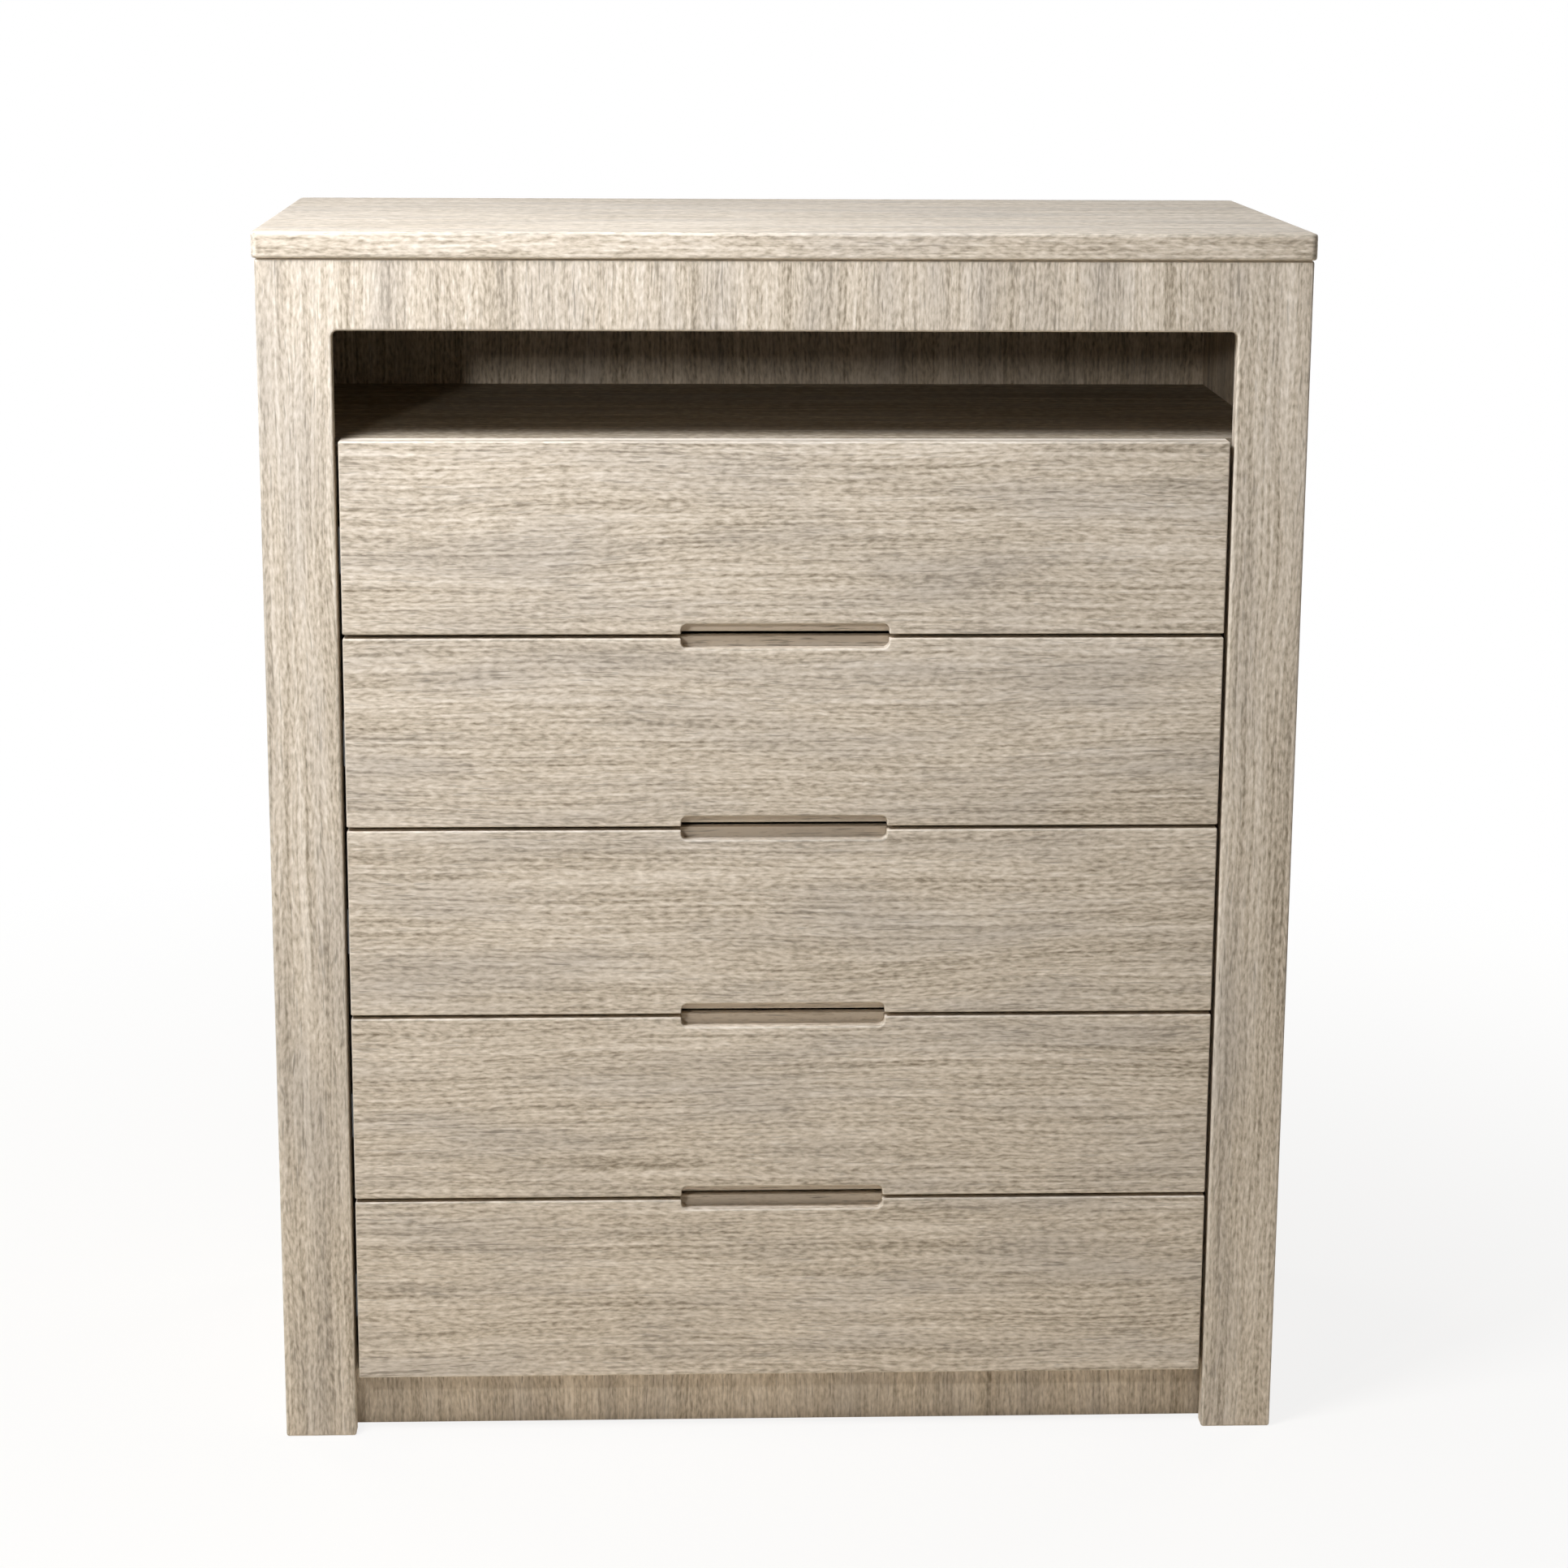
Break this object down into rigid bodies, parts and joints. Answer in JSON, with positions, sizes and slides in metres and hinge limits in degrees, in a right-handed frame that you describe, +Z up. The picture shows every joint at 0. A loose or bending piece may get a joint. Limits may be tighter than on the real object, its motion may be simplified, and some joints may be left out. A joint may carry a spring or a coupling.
{
  "type": "chest of drawers",
  "caption": "Tallboy with an open niche over a stack of drawers, pulled by finger slots cut between their fronts, in a face frame that runs down to form the legs.",
  "frame": {"origin": "on the floor, under the middle of the top's outline", "axes": "+Z up; the drawers open towards -Y, so the front faces -Y; +X to the right seen from the front"},
  "size_m": [1, 0.5, 1.2003],
  "materials": {
    "top_panel_oak": "grey-washed oak foil, satin, grain left to right",
    "front_frame_oak": "grey-washed oak foil, satin, grain up and down",
    "side_panel_oak": "grey-washed oak foil, satin, grain up and down",
    "plinth_oak": "grey-washed oak foil, satin, grain up and down",
    "niche_shelf_oak": "grey-washed oak foil, satin, grain left to right",
    "back_panel_oak": "grey-washed oak foil on fibreboard",
    "carcass_board": "grey-washed oak foil on chipboard",
    "drawer_front_oak": "grey-washed oak foil, satin, grain left to right",
    "drawer_box_oak": "grey-washed oak foil on chipboard",
    "drawer_base_board": "pale faced hardboard",
    "runner_steel": "bright zinc plated"
  },
  "bodies": {
    "carcass": {"top_panel": "top_panel_oak", "front_frame": "front_frame_oak", "side_panel_left": "side_panel_oak", "side_panel_right": "side_panel_oak", "plinth": "plinth_oak", "niche_shelf": "niche_shelf_oak", "back_panel": "back_panel_oak", "bottom_panel": "carcass_board", "runner_panel_left": "carcass_board", "runner_panel_right": "carcass_board", "cabinet_runner_1_left": "runner_steel", "cabinet_runner_1_right": "runner_steel", "cabinet_runner_2_left": "runner_steel", "cabinet_runner_2_right": "runner_steel", "cabinet_runner_3_left": "runner_steel", "cabinet_runner_3_right": "runner_steel", "cabinet_runner_4_left": "runner_steel", "cabinet_runner_4_right": "runner_steel", "cabinet_runner_5_left": "runner_steel", "cabinet_runner_5_right": "runner_steel"},
    "drawer_1": {"drawer_1_front": "drawer_front_oak", "drawer_1_box_front": "drawer_box_oak", "drawer_1_box_side_left": "drawer_box_oak", "drawer_1_box_side_right": "drawer_box_oak", "drawer_1_box_back": "drawer_box_oak", "drawer_1_base": "drawer_base_board", "drawer_1_runner_left": "runner_steel", "drawer_1_runner_right": "runner_steel"},
    "drawer_2": {"drawer_2_front": "drawer_front_oak", "drawer_2_box_front": "drawer_box_oak", "drawer_2_box_side_left": "drawer_box_oak", "drawer_2_box_side_right": "drawer_box_oak", "drawer_2_box_back": "drawer_box_oak", "drawer_2_base": "drawer_base_board", "drawer_2_runner_left": "runner_steel", "drawer_2_runner_right": "runner_steel"},
    "drawer_3": {"drawer_3_front": "drawer_front_oak", "drawer_3_box_front": "drawer_box_oak", "drawer_3_box_side_left": "drawer_box_oak", "drawer_3_box_side_right": "drawer_box_oak", "drawer_3_box_back": "drawer_box_oak", "drawer_3_base": "drawer_base_board", "drawer_3_runner_left": "runner_steel", "drawer_3_runner_right": "runner_steel"},
    "drawer_4": {"drawer_4_front": "drawer_front_oak", "drawer_4_box_front": "drawer_box_oak", "drawer_4_box_side_left": "drawer_box_oak", "drawer_4_box_side_right": "drawer_box_oak", "drawer_4_box_back": "drawer_box_oak", "drawer_4_base": "drawer_base_board", "drawer_4_runner_left": "runner_steel", "drawer_4_runner_right": "runner_steel"},
    "drawer_5": {"drawer_5_front": "drawer_front_oak", "drawer_5_box_front": "drawer_box_oak", "drawer_5_box_side_left": "drawer_box_oak", "drawer_5_box_side_right": "drawer_box_oak", "drawer_5_box_back": "drawer_box_oak", "drawer_5_base": "drawer_base_board", "drawer_5_runner_left": "runner_steel", "drawer_5_runner_right": "runner_steel"}
  },
  "joints": [
    {"name": "drawer_1_slide", "type": "slide", "parent": "carcass", "child": "drawer_1", "axis": [0, -1, 0], "range_m": [0, 0.3]},
    {"name": "drawer_2_slide", "type": "slide", "parent": "carcass", "child": "drawer_2", "axis": [0, -1, 0], "range_m": [0, 0.3]},
    {"name": "drawer_3_slide", "type": "slide", "parent": "carcass", "child": "drawer_3", "axis": [0, -1, 0], "range_m": [0, 0.3]},
    {"name": "drawer_4_slide", "type": "slide", "parent": "carcass", "child": "drawer_4", "axis": [0, -1, 0], "range_m": [0, 0.3]},
    {"name": "drawer_5_slide", "type": "slide", "parent": "carcass", "child": "drawer_5", "axis": [0, -1, 0], "range_m": [0, 0.3]}
  ]
}
